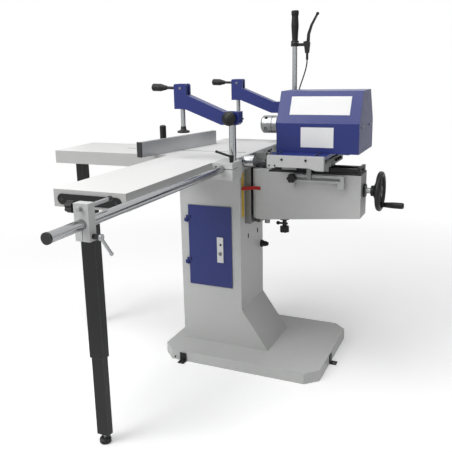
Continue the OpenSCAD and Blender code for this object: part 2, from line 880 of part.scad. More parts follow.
// Clamp arm: boss on the post, sloped beam and forked head, in the post's own frame
module arm() {
  head_x0 = -arm_reach - head_l / 2;
  head_x1 = -arm_reach + head_l / 2;
  boss_end = 31;
  color(paint_blue) difference() {
    side_profile([[boss_end, arm_z0 + 8], [boss_end, arm_z1], [-post_d, arm_z1],
      [head_x1, head_z0 + arm_depth + 4], [head_x1, head_z1 - 4], [head_x1 - 4, head_z1],
      [head_x0 + 4, head_z1], [head_x0, head_z1 - 4], [head_x0, head_z0],
      [head_x1 - 8, head_z0], [-post_d - 10, arm_z0], [boss_end - 8, arm_z0]],
      -arm_t / 2, arm_t / 2);
    rod_z(arm_z0 - 1, arm_z1 + 1, 0, 0, post_d / 2 + run_c);
    rod_z(head_z0 - 1, head_z1, -arm_reach, 0, plunger_d / 2 + run_c);
    box(head_x0 - 1, head_x1 + 1, -cam_slot / 2, cam_slot / 2, slot_z, head_z1 + 1);
    rod_y(-arm_t / 2 - 1, 0, 0, arm_knob_z, knob_stud_r + run_c);
    rod_y(-arm_t / 2 - 1, arm_t / 2 + 1, -arm_reach, cam_z, cam_pin_d / 2 + run_c);
  }
  color(steel) rod_y(-arm_t / 2 - 1, arm_t / 2 + 1, -arm_reach, cam_z, cam_pin_d / 2);
}

// Cam lever: eccentric on the pin, shank and tapered grip along -X
module cam_lever() {
  shank_r = 5;
  grip_d = 26;
  grip_len = 56;
  shank_l = 60;
  width = cam_slot - 2;
  color(black) translate([-arm_reach, 0, cam_z]) difference() {
    union() {
      translate([0, 0, -cam_e]) rod_y(-width / 2, width / 2, 0, 0, cam_r);
      rotate([0, -88, 0]) {
        translate([0, 0, 2]) cylinder(r = shank_r, h = shank_l);
        translate([0, 0, shank_l]) rotate_extrude() polygon([[0, 0], [7, 0], [8, 4],
          [grip_d / 2, grip_len * 0.42], [grip_d / 2, grip_len - 3], [grip_d / 2 - 3, grip_len],
          [0, grip_len]]);
      }
    }
    rod_y(-width, width, 0, 0, cam_pin_d / 2 + run_c);
  }
}

// Plunger with its swivel pad
module plunger() {
  pad_h = 9;
  neck_h = 14;
  color(steel) rod_z(pad_z0 + pad_h + neck_h, plunger_z1, -arm_reach, 0, plunger_d / 2);
  color(black) translate([-arm_reach, 0, pad_z0]) rotate_extrude() polygon([[0, 0],
    [pad_d / 2 - 2, 0], [pad_d / 2, 2], [pad_d / 2, 6], [pad_d / 2 - 8, pad_h], [10, pad_h + 3],
    [9, pad_h + neck_h], [0, pad_h + neck_h]]);
}

// Domed knob whose stud grips the post
module arm_knob() {
  knob_h = 30;
  neck_h = 8;
  neck_r = arm_knob_d * 0.25;
  y1 = -arm_t / 2 - slide_c;
  color(black) {
    translate([0, y1, arm_knob_z]) rotate([90, 0, 0]) {
      cylinder(r = neck_r, h = neck_h + 1);
      intersection() {
        translate([0, 0, neck_h]) cylinder(d = arm_knob_d, h = knob_h - neck_h);
        translate([0, 0, knob_h - arm_knob_d * 0.56]) sphere(d = arm_knob_d * 1.12);
      }
    }
    rod_y(y1 - 1, -post_d / 2 - slide_c, 0, arm_knob_z, knob_stud_r);
  }
}

module at_front() {
  translate([post_x, -post_y, 0]) children();
}

module at_rear() {
  mirror([0, 1, 0]) at_front() children();
}

module front_arm() { at_front() arm(); }
module rear_arm() { at_rear() arm(); }
module front_cam_lever() { at_front() cam_lever(); }
module rear_cam_lever() { at_rear() cam_lever(); }
module front_plunger() { at_front() plunger(); }
module rear_plunger() { at_rear() plunger(); }
module front_arm_knob() { at_front() arm_knob(); }
module rear_arm_knob() { at_rear() arm_knob(); }

// Knee slide: block with the dovetail, the lift nut's seat and the shaft opening
module knee_block() {
  step_x = knee_x + 13;
  step_half = knee_half - 12;
  color(paint_grey) difference() {
    translate([0, 0, knee_z0]) linear_extrude(knee_h) difference() {
      union() {
        translate([knee_x, -step_half]) square([step_x - knee_x + 1, 2 * step_half]);
        translate([step_x, -knee_half]) square([knee_x1 - step_x, 2 * knee_half]);
      }
      polygon(tongue(slide_c));
    }
    rod_z(knee_z0 - 1, knee_z1 + 1, screw_x, screw_y, screw_hole_r + 2);
    rod_z(nut_z0, gear_z0, screw_x, screw_y, nut_r + run_c);
    rod_z(gear_z0 - eps, knee_z1 + 1, screw_x, screw_y, cavity_r);
    rod_x(screw_x, knee_x1 + 1, shaft_y, shaft_z, cavity_r + 1);
  }
}

function box_plan(inset) = [
  [knee_x1 + inset, knee_y0 + inset], [box_x1 - inset, knee_y0 + inset],
  [box_x1 - inset, box_end_y1 - inset], [knee_x1 + inset, knee_half - inset]];

lock_x = knee_x1 + 42;
lock_y = shaft_y + 8;
lock_r = 8;
lock_boss = 8;
lock_boss_h = 22;
lock_z = knee_z0 + box_rise * (lock_x - knee_x1) / box_l;

// Upright outline of the knee box, its underside lifted by c
function box_side(c) = [
  [knee_x1 - 1, knee_z0 + c], [box_x1 + 1, knee_z0 + box_rise + c],
  [box_x1 + 1, knee_z1 + 1], [knee_x1 - 1, knee_z1 + 1]];

module box_solid(inset, z1) {
  intersection() {
    translate([0, 0, knee_z0 - 1]) linear_extrude(z1 - knee_z0 + 1) polygon(box_plan(inset));
    side_profile(box_side(inset), knee_y0 - 1, knee_half + 1);
  }
}

// Sheet housing of the knee, with its shaft bearings and the boss of the lock screw
module knee_box() {
  bearing_r = shaft_d / 2 + 14;
  bearing_l = 8;
  color(paint_grey) difference() {
    union() {
      difference() {
        box_solid(0, bed_z0);
        box_solid(box_wall, bed_z0 + 1);
      }
      rod_x(knee_x1 + 1, knee_x1 + box_wall + bearing_l, shaft_y, shaft_z, bearing_r);
      rod_x(box_x1 - 1, box_x1 + bearing_l, shaft_y, shaft_z, bearing_r);
      rod_z(lock_z - lock_boss, lock_z + lock_boss_h, lock_x, lock_y, lock_r + 6);
    }
    rod_x(knee_x1 - 1, box_x1 + bearing_l + 1, shaft_y, shaft_z, shaft_d / 2 + run_c);
    rod_z(lock_z - lock_boss - 1, lock_z + lock_boss_h + 1, lock_x, lock_y, lock_r + run_c);
  }
}

rail_x0 = knee_x1 + 8;
rail_x1 = box_x1 - 14;
rail_mid = knee_y0 + box_end_w / 2;
rail_ys = [rail_mid - rail_pitch / 2, rail_mid + rail_pitch / 2];

// Bed on top of the knee box, with the two rails, the way cover and the end plate
module rail_bed() {
  end_t = 10;
  color(black) {
    translate([0, 0, bed_z0]) linear_extrude(bed_t) polygon(box_plan(0));
    for (y = rail_ys) box(rail_x0, rail_x1, y - rail_w / 2, y + rail_w / 2, knee_z1 - eps, rail_z1);
    box(rail_x1, rail_x1 + end_t, knee_y0 + 2, box_end_y1 - 2, knee_z1 - eps, rail_z1 + 6);
    rod_x(rail_x1 - 20, rail_x1 + end_t + 4, rail_mid, knee_z1 + 10, 5);
  }
}

pinion_x = screw_x + gear_r1 + 0.6;

// Handwheel shaft with the bevel pinion on its inner end
module handwheel_shaft() {
  color(steel) {
    translate([pinion_x, shaft_y, shaft_z]) rotate([0, 90, 0]) {
      cylinder(r1 = gear_r1, r2 = gear_r0, h = gear_r0 - gear_r1);
      translate([0, 0, gear_r0 - gear_r1]) cylinder(r = gear_r0, h = 3);
    }
    rod_x(pinion_x + gear_r0 - gear_r1 + 2, wheel_x + hub_l - 6, shaft_y, shaft_z, shaft_d / 2);
  }
}

// Lift nut that turns in the knee slide, with the bevel gear on top
module lift_nut() {
  color(steel) translate([screw_x, screw_y, 0]) difference() {
    union() {
      rod_z(nut_z0 + 2, gear_z0 + 1, 0, 0, nut_r);
      rod_z(gear_z0 + 0.2, shaft_z - gear_r0, 0, 0, gear_r0);
      translate([0, 0, shaft_z - gear_r0])
        cylinder(r1 = gear_r0, r2 = gear_r1, h = gear_r0 - gear_r1);
    }
    rod_z(nut_z0 - 1, shaft_z, 0, 0, screw_hole_r);
  }
}

grip_turn = -75;
grip_y = shaft_y + wheel_pin_r * cos(grip_turn);
grip_z = shaft_z + wheel_pin_r * sin(grip_turn);
grip_pin_r = 4;

// Dished handwheel with round rim, and the pin of its grip
module handwheel() {
  rim_r = 9;
  web_t = 8;
  r = wheel_d / 2;
  bore_r = shaft_d / 2 + run_c;
  color(black) {
    translate([wheel_x, shaft_y, shaft_z]) rotate([0, 90, 0]) rotate_extrude() union() {
      translate([r - rim_r, hub_l - rim_r]) circle(r = rim_r);
      polygon([[bore_r, 0], [18, 0], [20, 10], [r - rim_r, hub_l - rim_r - web_t / 2],
        [r - rim_r, hub_l - rim_r + web_t / 2], [24, 18], [20, hub_l - 4], [bore_r, hub_l - 4]]);
    }
    rod_x(wheel_x + hub_l - 18, wheel_x + hub_l + 2, grip_y, grip_z, 10);
    rod_x(wheel_x + hub_l, wheel_x + hub_l + grip_l - 6, grip_y, grip_z, grip_pin_r);
  }
}

module handwheel_grip() {
  x0 = wheel_x + hub_l + 2 + slide_c;
  color(black) translate([x0, grip_y, grip_z]) rotate([0, 90, 0]) difference() {
    rotate_extrude() polygon([[0, 0], [8, 0], [9, 4], [11, grip_l * 0.5], [11, grip_l - 5],
      [8, grip_l], [0, grip_l]]);
    translate([0, 0, -1]) cylinder(r = grip_pin_r + run_c, h = grip_l - 6);
  }
}

// Bent pointer from the knee slide to the scale on the column
module height_pointer() {
  pointer_h = 13;
  pointer_z = shaft_z - 12;
  t = 2;
  color(red) translate([0, 0, pointer_z]) linear_extrude(pointer_h) polygon([
    [knee_x1 - 32, knee_y0], [knee_x1 - 32, knee_y0 - t], [knee_x + 6, knee_y0 - t],
    [col_x1 + 2, knee_y0 - 30], [col_x1 + 2, knee_y0 - 30 + t * 1.2], [knee_x + 5, knee_y0]]);
}

depth_x0 = knee_x1 + 80;
depth_l = 199;
depth_z0 = knee_z1 - 36;
depth_bar_h = 28;
depth_off = 8;
depth_t = 8;
depth_y1 = knee_y0 - depth_off;
slot_h = 9;

// Slotted depth stop bar on two brackets
module depth_stop() {
  foot_w = 22;
  z_mid = depth_z0 + depth_bar_h / 2;
  color(paint_grey) difference() {
    union() {
      box(depth_x0, depth_x0 + depth_l, depth_y1 - depth_t, depth_y1, depth_z0, depth_z0 + depth_bar_h);
      for (x = [depth_x0, depth_x0 + depth_l - foot_w])
        box(x, x + foot_w, depth_y1 - depth_t, knee_y0, depth_z0 - 18, depth_z0 + 2);
    }
    box(depth_x0 + 9, depth_x0 + depth_l - 14, depth_y1 - depth_t - 1, depth_y1 + 1,
        z_mid - slot_h / 2, z_mid + slot_h / 2);
  }
}

// Star knob with the stop bush and stud that slide in the depth bar
module depth_knob() {
  knob_d = 32;
  knob_h = 18;
  x = depth_x0 + 15;
  z = depth_z0 + depth_bar_h / 2;
  y1 = depth_y1 - depth_t - slide_c;
  color(black) {
    translate([x, y1, z]) rotate([90, 0, 0]) star_knob(knob_d, knob_h);
    rod_y(y1 - 1, depth_y1 + 3, x, z, slot_h / 2 - slide_c);
  }
}

// Knee lock: screw with a collar, a cross bar with a ball end and a star knob, under the knee box
module knee_lock() {
  collar_r = 18;
  collar_h = 5;
  collar_z1 = lock_z - lock_boss - slide_c;
  knob_d = 34;
  knob_h = 22;
  knob_drop = 62;
  bar_r = 4;
  bar_out = 22;
  bar_in = 12;
  ball_r = 7;
  bar_z = lock_z - 29;
  color(black) {
    rod_z(lock_z - knob_drop + 2, lock_z + lock_boss_h, lock_x, lock_y, lock_r);
    rod_z(collar_z1 - collar_h, collar_z1, lock_x, lock_y, collar_r);
    translate([lock_x, lock_y, lock_z - knob_drop]) star_knob(knob_d, knob_h);
    rod_x(lock_x - bar_out, lock_x + bar_in, lock_y, bar_z, bar_r);
    translate([lock_x - bar_out, lock_y, bar_z]) rotate([0, -90, 0]) rotate_extrude()
      polygon([[0, -2], [bar_r + 1, -2], [ball_r, 1], [ball_r, 6], [bar_r, 10], [0, 10]]);
  }
}

runner_l = 55;
runner_w = 36;

// Saddle with its four runner blocks, the rod bores and the depth dog
module saddle() {
  x0 = head_x + 3;
  x1 = slide_x1 - 3;
  dog_x = depth_x0 + 70;
  dog_w = 16;
  dog_t = 11;
  dog_y1 = depth_y1 - depth_t - 0.6;
  color(paint_grey) difference() {
    union() {
      box(x0, x1, -saddle_half, saddle_half, saddle_z0, saddle_z1);
      for (x = [x0 + 10, x1 - 10 - runner_l], y = rail_ys)
        box(x, x + runner_l, y - runner_w / 2, y + runner_w / 2, knee_z1 + 4, saddle_z0 + eps);
      box(dog_x, dog_x + dog_w, dog_y1 - dog_t, dog_y1, depth_z0 + 14, saddle_z1 - 4);
      box(dog_x, dog_x + dog_w, dog_y1 - 1, -saddle_half + 1, saddle_z0, saddle_z1 - 4);
    }
    for (y = rail_ys)
      box(x0 - 1, x1 + 1, y - rail_w / 2 - slide_c, y + rail_w / 2 + slide_c, knee_z1, rail_z1 + slide_c);
    for (x = [head_x + yrod_in, slide_x1 - yrod_in])
      rod_y(-saddle_half - 1, saddle_half + 1, x, yrod_z, yrod_d / 2 + run_c);
  }
}

module motor_plate() {
  color(paint_blue) box(head_x, slide_x1, -slide_half, slide_half, mplate_z0, mplate_z1);
}

// End plates under the motor plate and the two rods between them
module slide_frame() {
  seat = 9;
  lug_w = 26;
  lug_h = 4;
  color(paint_grey) for (m = [0, 1]) mirror([0, m, 0]) difference() {
    side_profile([[head_x, saddle_z0 + lug_h], [head_x + lug_w, saddle_z0 + lug_h],
      [head_x + lug_w, saddle_z0 + 2 * lug_h], [slide_x1 - 2 * lug_w, saddle_z0 + 2 * lug_h],
      [slide_x1 - lug_w, saddle_z0], [slide_x1, saddle_z0], [slide_x1, mplate_z0], [head_x, mplate_z0]],
      -slide_half, -slide_half + apron_t);
    for (x = [head_x + yrod_in, slide_x1 - yrod_in])
      rod_y(-slide_half + apron_t - seat, -slide_half + apron_t + 1, x, yrod_z, yrod_d / 2 + run_c);
  }
  color(chrome) for (x = [head_x + yrod_in, slide_x1 - yrod_in])
    rod_y(-slide_half + apron_t - seat, slide_half - apron_t + seat, x, yrod_z, yrod_d / 2);
}

// Motor with foot, front flange and spindle nose
module motor() {
  x0 = hood_x0 + 26;
  x1 = hood_x1 - 28;
  foot_half = 66;
  color(black) difference() {
    union() {
      rod_x(x0, x1, 0, spindle_z, motor_d / 2);
      box(x0 + 16, slide_x1 - 12, -foot_half, foot_half, mplate_z1, spindle_z);
      rod_x(hood_x0 + hood_wall, x0 + 1, 0, spindle_z, 46);
      rod_x(hood_x0 - 22, x0, 0, spindle_z, nose_d / 2);
    }
    rod_x(hood_x0 - 23, x1 + 1, 0, spindle_z, spindle_d / 2 + run_c);
  }
}

function hood_outline(inset) = [
  [-hood_half + inset, mplate_z1 - (inset > 0 ? 1 : 0)],
  [hood_half - inset, mplate_z1 - (inset > 0 ? 1 : 0)],
  [hood_half - inset, mplate_z1 + hood_side - inset * 0.25],
  [hood_top - inset * 0.6, mplate_z1 + hood_h - inset],
  [-hood_top + inset * 0.6, mplate_z1 + hood_h - inset],
  [-hood_half + inset, mplate_z1 + hood_side - inset * 0.25]];

module hood() {
  color(paint_blue) difference() {
    translate([hood_x0, 0, 0]) rotate([90, 0, 90]) linear_extrude(hood_l) polygon(hood_outline(0));
    translate([hood_x0 + hood_wall, 0, 0]) rotate([90, 0, 90])
      linear_extrude(hood_l - 2 * hood_wall) polygon(hood_outline(hood_wall));
    rod_x(hood_x0 - 1, hood_x0 + hood_wall + 1, 0, spindle_z, nose_d / 2 + 1);
  }
}

chuck_seat = 12;

module spindle() {
  color(steel) {
    rod_x(chuck_x + chuck_l - chuck_seat, hood_x1 - 34, 0, spindle_z, spindle_d / 2);
  }
}

// Chuck with its tool bore, key sockets and ring seam
module chuck() {
  seam_x = chuck_l - 22;
  socket_d = 9;
  r = chuck_d / 2;
  color(chrome) translate([chuck_x, 0, spindle_z]) rotate([0, 90, 0]) difference() {
    rotate_extrude() polygon([[0, 0], [r - 6, 0], [r, 6], [r, seam_x - 1], [r - 1.5, seam_x - 1],
      [r - 1.5, seam_x + 1], [r, seam_x + 1], [r, chuck_l - 3], [r - 3, chuck_l], [0, chuck_l]]);
    translate([0, 0, -1]) cylinder(d = tool_d, h = tool_depth + 1);
    translate([0, 0, chuck_l - chuck_seat]) cylinder(r = spindle_d / 2 + run_c, h = chuck_seat + 1);
    for (a = [40, 220]) rotate(a) translate([tool_d / 2 + 4, 0, 20]) rotate([0, 90, 0])
      cylinder(d = socket_d, h = chuck_d);
  }
}

// Lever tube in its socket block on the motor plate
module joystick() {
  socket_w = 28;
  socket_z0 = mplate_z0 - 16;
  color(chrome) {
    difference() {
      box(stick_x - 14, head_x, stick_y - socket_w / 2, stick_y + socket_w / 2, socket_z0, mplate_z1 + 14);
      rod_z(socket_z0 + 4, mplate_z1 + 15, stick_x, stick_y, stick_d / 2 + run_c);
    }
    rod_z(socket_z0 + 4, stick_z1 - 4, stick_x, stick_y, stick_d / 2);
  }
}

// Hand grip, and the clamp and housing of the brake lever below it
module joystick_grip() {
  r = hand_d / 2;
  z0 = stick_z1 - hand_l;
  pivot_r = 4;
  ear_t = 4;
  gap = 8;
  color(black) {
    translate([stick_x, stick_y, z0]) difference() {
      rotate_extrude() polygon([[0, 0], [r + 2, 0], [r + 2, 5], [r - 2, 8], [r - 1, 30],
        [r + 1, 62], [r - 1, 94], [r + 1, hand_l - 12], [r + 1, hand_l - 3], [r - 2, hand_l], [0, hand_l]]);
      translate([0, 0, -1]) cylinder(r = stick_d / 2 + run_c, h = hand_l - 3);
    }
    difference() {
      union() {
        rod_z(z0 - 14, z0 - 1, stick_x, stick_y, stick_d / 2 + 6);
        box(stick_x + stick_d / 2, lever_pivot_x - 11, stick_y - 6, stick_y + 6, z0 - 14, z0 - 3);
        for (s = [-1, 1])
          translate([0, s * (gap + ear_t) / 2, 0])
            side_profile([[lever_pivot_x - 12, z0 - 14], [lever_pivot_x - 16, z0 + 2],
              [lever_pivot_x + 2, z0 + 6], [lever_pivot_x + 8, z0 - 2], [lever_pivot_x + 4, z0 - 40],
              [lever_pivot_x - 8, z0 - 40]], stick_y - ear_t / 2, stick_y + ear_t / 2);
        box(lever_pivot_x - 8, lever_pivot_x + 4, stick_y - gap / 2 - 1, stick_y + gap / 2 + 1, z0 - 40, z0 - 30);
      }
      rod_z(z0 - 15, z0, stick_x, stick_y, stick_d / 2 + run_c);
    }
    rod_y(stick_y - gap / 2 - 1, stick_y + gap / 2 + 1, lever_pivot_x, lever_pivot_z, pivot_r);
    rod_z(lever_pivot_z - 60, z0 - 39, lever_pivot_x - 2, stick_y, 4.5);
  }
}

// Brake-type hand lever on its pivot
module brake_lever() {
  blade_t = 7;
  x = lever_pivot_x;
  z = lever_pivot_z;
  color(black) difference() {
    union() {
      rod_y(stick_y - blade_t / 2, stick_y + blade_t / 2, x, z, 8);
      side_profile([[x - 5, z], [x - 2, z + 34], [x + 10, z + 66], [x + 32, z + 104],
        [x + 38, z + 101], [x + 18, z + 64], [x + 8, z + 32], [x + 7, z]],
        stick_y - blade_t / 2, stick_y + blade_t / 2);
      translate([x + 36, stick_y, z + 104]) sphere(r = 6);
    }
    rod_y(stick_y - 10, stick_y + 10, x, z, 4 + run_c);
  }
}

// Bowden cable from the barrel adjuster down along the lever tube, one sweep
cable_r = 2.5;
cable_x = stick_x + stick_d / 2 + cable_r + 0.3;
cable_z1 = lever_pivot_z - 60;
cable_z0 = mplate_z1 + 14;
cable_bend = cable_z1 - 150;
cable_n = 24;
function smooth(t) = t * t * (3 - 2 * t);
function cable_at(i) =
  let (t = i / cable_n, z = cable_z1 + (cable_z0 - cable_z1) * t,
       u = min(1, max(0, (cable_z1 - z) / (cable_z1 - cable_bend))))
  [lever_pivot_x - 2 + (cable_x - lever_pivot_x + 2) * smooth(u), stick_y, z];

module brake_cable() {
  sides = 8;
  pts = [for (i = [0 : cable_n]) for (k = [0 : sides - 1])
    cable_at(i) + cable_r * [cos(k * 360 / sides), sin(k * 360 / sides), 0]];
  skin = [for (i = [0 : cable_n - 1]) for (k = [0 : sides - 1])
    [i * sides + k, i * sides + (k + 1) % sides, (i + 1) * sides + (k + 1) % sides, (i + 1) * sides + k]];
  ends = [[for (k = [sides - 1 : -1 : 0]) k], [for (k = [0 : sides - 1]) cable_n * sides + k]];
  color(black) polyhedron(pts, concat(skin, ends), convexity = 4);
}

base_plate();
anchor_brackets();
column_shell();
column_front();
column_foot();
column_door();
latch_cam();
cable_gland();
column_way();
lift_screw();
main_table();
table_rail();
front_extension();
side_extension();
leg_sleeves();
front_leg();
side_leg();
corner_blocks();
stop_bar();
bar_lever();
stop_block();
stop_pin();
stop_knob();
stop_lever();
fence_bolt();
fence();
fence_handle();
front_post();
rear_post();
front_arm();
rear_arm();
front_cam_lever();
rear_cam_lever();
front_plunger();
rear_plunger();
front_arm_knob();
rear_arm_knob();
knee_block();
knee_box();
rail_bed();
handwheel_shaft();
lift_nut();
handwheel();
handwheel_grip();
height_pointer();
depth_stop();
depth_knob();
knee_lock();
saddle();
motor_plate();
slide_frame();
motor();
hood();
spindle();
chuck();
joystick();
joystick_grip();
brake_lever();
brake_cable();
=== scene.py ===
"""Looks of a horizontal slot mortiser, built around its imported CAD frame. Lengths are in metres."""

import json
import math
from dataclasses import dataclass

import bmesh
import bpy
from mathutils import Matrix, Vector


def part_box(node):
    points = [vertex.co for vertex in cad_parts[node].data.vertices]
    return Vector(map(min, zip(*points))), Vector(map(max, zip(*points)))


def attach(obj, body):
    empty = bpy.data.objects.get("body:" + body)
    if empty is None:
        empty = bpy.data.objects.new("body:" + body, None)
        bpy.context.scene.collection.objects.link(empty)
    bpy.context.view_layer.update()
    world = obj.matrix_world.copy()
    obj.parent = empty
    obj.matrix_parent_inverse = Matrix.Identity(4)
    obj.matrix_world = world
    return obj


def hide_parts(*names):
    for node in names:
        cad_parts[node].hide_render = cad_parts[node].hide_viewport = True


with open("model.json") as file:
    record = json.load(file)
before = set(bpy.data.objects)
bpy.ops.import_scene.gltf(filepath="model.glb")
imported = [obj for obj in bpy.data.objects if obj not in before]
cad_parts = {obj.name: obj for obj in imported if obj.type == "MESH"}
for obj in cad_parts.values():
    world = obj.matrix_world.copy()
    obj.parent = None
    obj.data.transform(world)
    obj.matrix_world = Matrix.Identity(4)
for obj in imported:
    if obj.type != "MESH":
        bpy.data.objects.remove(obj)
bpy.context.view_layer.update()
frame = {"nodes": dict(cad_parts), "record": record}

X = Vector((1, 0, 0))
Y = Vector((0, 1, 0))
Z = Vector((0, 0, 1))


def low(node):
    """A node's lowest corner."""
    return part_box(node)[0]


def high(node):
    """A node's highest corner."""
    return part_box(node)[1]


def new_object(name, data):
    """An object in the scene."""
    item = bpy.data.objects.new(name, data)
    bpy.context.scene.collection.objects.link(item)
    return item


# Finishes


@dataclass(frozen=True)
class Finish:
    """A surface: its screen colour, 0 to 255, and the strength of each thing that it shows."""

    color: tuple
    rough: float
    grain: float
    peel: float
    # How much paler the rounded edges get: painted edge highlight with a little wear
    edge_highlight_and_wear: float = 0.0
    spec: float = 0.5
    metal: float = 0.0
    stretch: float = 0.0


# Those of the record's material slots, and a few more for parts of nodes and small pieces
FINISHES = {
    "grey_paint": Finish((197, 198, 197), rough=0.42, grain=0.03, peel=0.05, edge_highlight_and_wear=0.1, spec=0.25),
    # A grey a little darker than grey_paint, used on the knee, the slide and the motor plate's ends
    "darker_grey_paint": Finish((186, 187, 186), rough=0.45, grain=0.04, peel=0.06, edge_highlight_and_wear=0.1, spec=0.25),
    "blue_paint": Finish((31, 44, 114), rough=0.32, grain=0.06, peel=0.09, edge_highlight_and_wear=0.14, spec=0.42),
    "table_white": Finish((226, 226, 225), rough=0.36, grain=0.02, peel=0.015, edge_highlight_and_wear=0.04, spec=0.3),
    "table_edge": Finish((182, 182, 181), rough=0.4, grain=0.02, peel=0.02, edge_highlight_and_wear=0.04, spec=0.25),
    "black_paint": Finish((24, 24, 26), rough=0.42, grain=0.1, peel=0.06, edge_highlight_and_wear=0.2, spec=0.3),
    "black_plastic": Finish((22, 22, 24), rough=0.48, grain=0.12, peel=0.1, edge_highlight_and_wear=0.12, spec=0.3),
    "steel": Finish((172, 174, 176), rough=0.34, grain=0.08, peel=0.02, edge_highlight_and_wear=0.1, metal=1.0, stretch=8),
    "dull_steel": Finish((132, 133, 132), rough=0.46, grain=0.1, peel=0.03, edge_highlight_and_wear=0.1, metal=0.9, stretch=6),
    "chrome": Finish((170, 172, 174), rough=0.2, grain=0.03, peel=0.005, edge_highlight_and_wear=0.05, metal=1.0),
    "alloy": Finish((190, 191, 193), rough=0.36, grain=0.06, peel=0.02, edge_highlight_and_wear=0.1, metal=1.0, stretch=10),
    "chuck_steel": Finish((148, 149, 150), rough=0.33, grain=0.05, peel=0.006, edge_highlight_and_wear=0.1, metal=1.0),
    "motor_alloy": Finish((120, 122, 126), rough=0.5, grain=0.08, peel=0.05, edge_highlight_and_wear=0.1, metal=0.8),
    "red_paint": Finish((168, 24, 24), rough=0.4, grain=0.05, peel=0.05, edge_highlight_and_wear=0.1, spec=0.25),
    "yellow_strip": Finish((226, 188, 60), rough=0.5, grain=0.03, peel=0.01, spec=0.3),
    "label_white": Finish((228, 228, 228), rough=0.5, grain=0.01, peel=0.005, spec=0.3),
    # Near black: painted shade in the holes, sockets and vents, the print of the scale ticks, the chuck's
    # seam, and the studio cards
    "shade_and_print_black": Finish((14, 14, 15), rough=0.8, grain=0.05, peel=0.0, spec=0.2),
}

# The colour that rounded edges turn towards: painted edge highlight with a little wear
EDGE_HIGHLIGHT_AND_WEAR_COLOR = (225, 225, 225)
GRAIN_SCALE = 60.0
GRAIN_DETAIL = 4
ROUGH_SPREAD = 0.15
PEEL_SCALE = 900.0
PEEL_DEPTH = 0.001
EDGE_RADIUS = 0.0011
EDGE_SAMPLES = 4
# How far the rounded normal agrees with the face's where the painted edge highlight and wear start, and
# where they are full
HIGHLIGHT_AND_WEAR_STARTS = 0.99
HIGHLIGHT_AND_WEAR_FULL = 0.85
# Sockets of a Mix node by its kind: first input, second input and output
MIX_SOCKETS = {"RGBA": (6, 7, 2), "FLOAT": (2, 3, 0)}


def linear(color):
    """A screen colour, 0 to 255, as the linear colour that a shader takes."""
    shares = [c / 255 for c in color]
    return (*[((s + 0.055) / 1.055) ** 2.4 if s > 0.04 else s / 12.92 for s in shares], 1)


def new_node(tree, kind, operation=None):
    """A shader node, with its operation where its kind has several."""
    node = tree.nodes.new(kind)
    if operation:
        node.operation = operation
    return node


def feed(tree, source, socket):
    """Gives an input socket its source: another node's output, or a value."""
    if isinstance(source, bpy.types.NodeSocket):
        tree.links.new(source, socket)
    else:
        socket.default_value = source


def object_place(tree):
    """The place of a surface point in its object."""
    return new_node(tree, "ShaderNodeTexCoord").outputs["Object"]


def half_space(tree, normal, offset):
    """1 where a point lies beyond the plane normal . p = offset, else 0."""
    dot = new_node(tree, "ShaderNodeVectorMath", "DOT_PRODUCT")
    feed(tree, object_place(tree), dot.inputs[0])
    feed(tree, normal, dot.inputs[1])
    test = new_node(tree, "ShaderNodeMath", "GREATER_THAN")
    feed(tree, dot.outputs["Value"], test.inputs[0])
    feed(tree, offset, test.inputs[1])
    return test.outputs[0]


def region(tree, tests):
    """1 where a point lies in every half space of tests, else 0."""
    result = half_space(tree, *tests[0])
    for test in tests[1:]:
        both = new_node(tree, "ShaderNodeMath", "MULTIPLY")
        feed(tree, result, both.inputs[0])
        feed(tree, half_space(tree, *test), both.inputs[1])
        result = both.outputs[0]
    return result


def mixed(tree, mask, kind, first, second):
    """first where mask is 0 and second where it is 1; each is a value or an output socket."""
    first_socket, second_socket, output = MIX_SOCKETS[kind]
    mix = new_node(tree, "ShaderNodeMix")
    mix.data_type = kind
    feed(tree, mask, mix.inputs[0])
    feed(tree, first, mix.inputs[first_socket])
    feed(tree, second, mix.inputs[second_socket])
    return mix.outputs[output]


def cloud(tree, finish):
    """Cloudy noise over the surface, drawn out along Y on brushed metal."""
    noise = new_node(tree, "ShaderNodeTexNoise")
    feed(tree, GRAIN_SCALE, noise.inputs["Scale"])
    feed(tree, GRAIN_DETAIL, noise.inputs["Detail"])
    place = object_place(tree)
    if finish.stretch:
        squeeze = new_node(tree, "ShaderNodeVectorMath", "MULTIPLY")
        feed(tree, place, squeeze.inputs[0])
        feed(tree, (finish.stretch, 1, finish.stretch), squeeze.inputs[1])
        place = squeeze.outputs[0]
    feed(tree, place, noise.inputs["Vector"])
    return noise.outputs[0]


def edge_mask(tree, bevel, edge_highlight_and_wear):
    """0 on the faces, and up to the given strength along the rounded edges, where painted edge highlight and
    a little wear go.
    """
    dot = new_node(tree, "ShaderNodeVectorMath", "DOT_PRODUCT")
    feed(tree, bevel.outputs[0], dot.inputs[0])
    feed(tree, new_node(tree, "ShaderNodeNewGeometry").outputs["Normal"], dot.inputs[1])
    mask = new_node(tree, "ShaderNodeMapRange")
    feed(tree, dot.outputs["Value"], mask.inputs["Value"])
    feed(tree, HIGHLIGHT_AND_WEAR_STARTS, mask.inputs["From Min"])
    feed(tree, HIGHLIGHT_AND_WEAR_FULL, mask.inputs["From Max"])
    feed(tree, 0.0, mask.inputs["To Min"])
    feed(tree, edge_highlight_and_wear, mask.inputs["To Max"])
    return mask.outputs[0]


def surface_color(tree, finish, noise, bevel):
    """The finish's colour with a faint cloudy change, and paler along the edges: painted edge highlight with
    a little wear.
    """
    color = linear(finish.color)
    dark = (*[c * (1 - 2 * finish.grain) for c in color[:3]], 1)
    clouded = mixed(tree, noise, "RGBA", dark, color)
    if not finish.edge_highlight_and_wear:
        return clouded
    return mixed(tree, edge_mask(tree, bevel, finish.edge_highlight_and_wear), "RGBA", clouded, linear(EDGE_HIGHLIGHT_AND_WEAR_COLOR))


